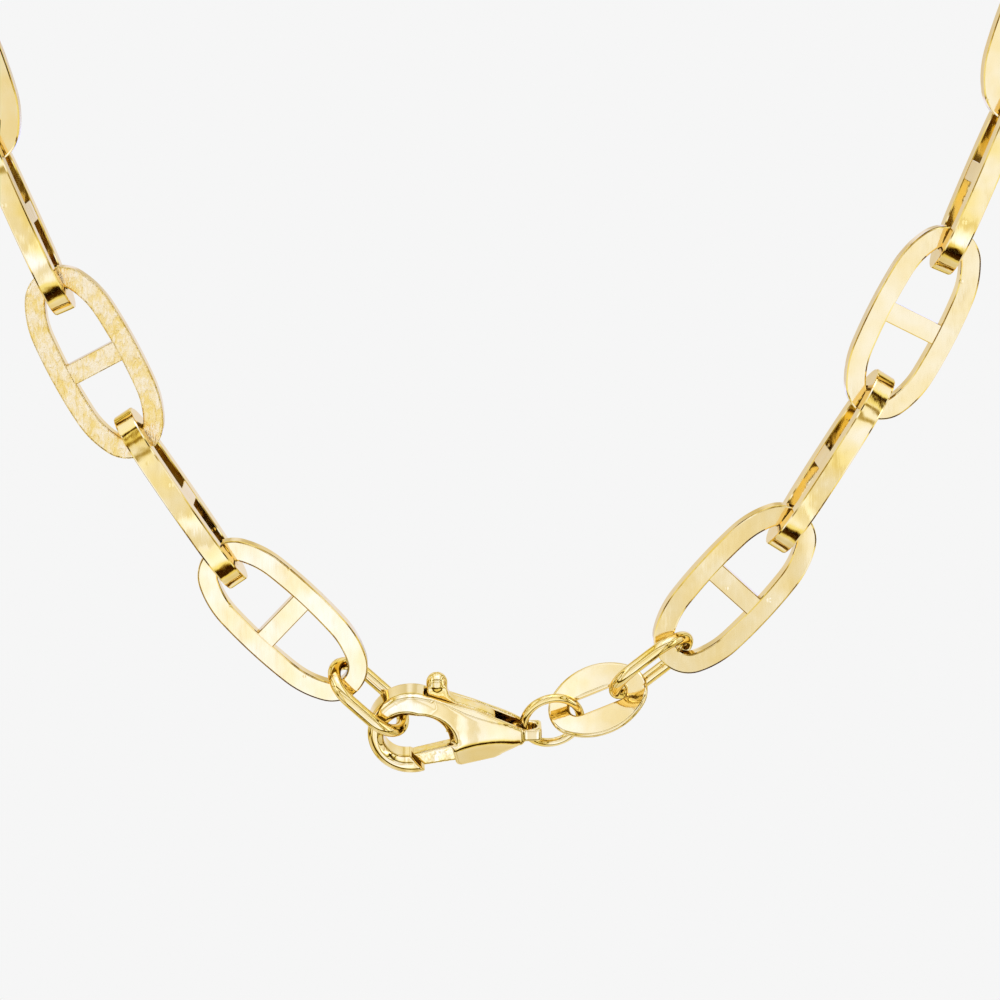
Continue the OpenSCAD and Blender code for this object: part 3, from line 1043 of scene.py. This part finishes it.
        # A ray that leaves after n bounces reaches the world with a depth of n + 1.
        depths = self.gap_bounces[0] + 1, self.gap_bounces[1] + 1
        # The full strength, and the painted shade that darkens the narrow gaps between the pieces.
        dimmed = self.strength(), self.strength() * self.gap_light
        strength = stretch(tree, path["Ray Depth"], depths, dimmed)
        tent = add_node(tree, "ShaderNodeBackground", links={"Color": colour, "Strength": strength})
        plain = {"Color": linear(self.backdrop), "Strength": 1.0}
        backdrop = add_node(tree, "ShaderNodeBackground", plain)
        choice = {0: path["Is Camera Ray"], 1: tent.outputs[0], 2: backdrop.outputs[0]}
        mixed = add_node(tree, "ShaderNodeMixShader", links=choice)
        add_node(tree, "ShaderNodeOutputWorld", links={"Surface": mixed.outputs["Shader"]})
        return world


@dataclass(frozen=True)
class Softbox:
    """A cool rectangular softbox that faces the necklace.

    Its place is relative to what the camera looks at, and its size is its width and height, all in
    metres. Its glow is 1 where it is as bright as the light table.
    """

    name: str
    at: tuple[float, float, float]
    size: tuple[float, float]
    glow: float
    colour: tuple[float, float, float] = (0.55, 0.62, 1.0)

    def hang(self, look_at: Vector) -> None:
        """Hangs the softbox.

        Args:
            look_at: What the camera looks at.
        """
        data = bpy.data.lights.new(self.name, "AREA")
        data.shape = "RECTANGLE"
        data.size, data.size_y = self.size
        data.color = self.colour
        data.energy = self.glow * self.size[0] * self.size[1] * math.pi
        light = bpy.data.objects.new(self.name, data)
        light.location = look_at + Vector(self.at)
        light.rotation_mode = "QUATERNION"
        light.rotation_quaternion = (-Vector(self.at)).to_track_quat("-Z", "Y")
        bpy.context.scene.collection.objects.link(light)


@dataclass
class Studio:
    """Camera, light table and soft lights. Lengths are in metres, and the lens and sensor in mm."""

    look_at: Vector = field(default_factory=lambda: Vector((0.47, 0.0, -157.14)) * MM)
    stand: Vector = field(default_factory=lambda: Vector((-6.8, -254.0, 44.8)) * MM)
    lens: float = 128.2
    sensor: float = 36.0
    clip: tuple[float, float] = (0.01, 20.0)
    floor_z: float = -0.30
    floor_reach: float = 12.0
    softboxes: tuple[Softbox, ...] = (
        Softbox("softbox_top", (0.05, -0.10, 0.60), (0.30, 0.16), 2.2),
        Softbox("softbox_left", (-0.55, -0.30, 0.22), (0.08, 0.40), 2.1),
        Softbox("softbox_right", (0.55, -0.22, 0.10), (0.06, 0.40), 2.1),
    )

    def camera(self) -> None:
        """Sets the camera where the photograph was taken from."""
        data = bpy.data.cameras.new("camera")
        data.lens = self.lens
        data.sensor_width = self.sensor
        data.clip_start, data.clip_end = self.clip
        camera = bpy.data.objects.new("camera", data)
        camera.location = self.look_at + self.stand
        camera.rotation_mode = "QUATERNION"
        camera.rotation_quaternion = (-self.stand).to_track_quat("-Z", "Y")
        bpy.context.scene.collection.objects.link(camera)
        bpy.context.scene.camera = camera

    def floor(self) -> None:
        """Lays the light table under the necklace."""
        bm = bmesh.new()
        bmesh.ops.create_grid(bm, x_segments=1, y_segments=1, size=self.floor_reach)
        bmesh.ops.translate(bm, verts=bm.verts, vec=(0.0, 0.0, self.floor_z))
        mesh = bpy.data.meshes.new("floor")
        bm.to_mesh(mesh)
        bm.free()
        mesh.materials.append(LightTable().material())
        floor = bpy.data.objects.new("floor", mesh)
        bpy.context.scene.collection.objects.link(floor)
        floor.visible_glossy = False
        floor.visible_diffuse = False

    def build(self) -> None:
        """Sets up the whole studio."""
        self.camera()
        self.floor()
        for softbox in self.softboxes:
            softbox.hang(self.look_at)
        bpy.context.scene.world = Tent().world()
        bpy.context.scene.view_settings.view_transform = "Standard"


def main() -> None:
    """Builds the necklace, piece by piece, in its studio."""
    logging.basicConfig(level=logging.INFO, format="%(name)s: %(message)s")
    Studio().build()
    polished = PolishedGold("polished_yellow_gold").material()
    lapped = PolishedGold(
        "lapped_yellow_gold", colour="#FEE29C", deep_colour="#F9D066", roughness=0.07,
        rough_spread=0.10, ripple_size=1.1, ripple_depth=0.09, hairline_gap=0.30, hairline_depth=0.05,
        hairline_stretch=0.45, hairline_bend=1.2, streaks=1.0,
    ).material()
    tumbled = PolishedGold(
        "tumbled_yellow_gold", deep_colour="#FED86C", sway_depth=0.5, ripple_size=2.6,
        ripple_depth=0.075, hairline_depth=0.003,
    ).material()
    cast = PolishedGold(
        "cast_yellow_gold", deep_colour="#FED86C", roughness=0.06, ripple_size=0.75,
        ripple_depth=0.05, hairline_depth=0.003, pit_gap=1.1,
    ).material()
    Chain(polished, lapped, tumbled).build()
    for node in ("jump_ring_hook", "jump_ring_chain"):
        OvalRing(node, tumbled).build()
    RoundRing("jump_ring_tail", tumbled).build()
    Tag(polished).build()
    Casting("clasp_body", "clasp_casting", Body.NECKLACE, polished).build()
    Casting("clasp_trigger", "lever_casting", Body.LEVER, cast, ridge_rounds=0).build()
    dress("clasp_pin", polished)


if __name__ == "__main__":
    main()
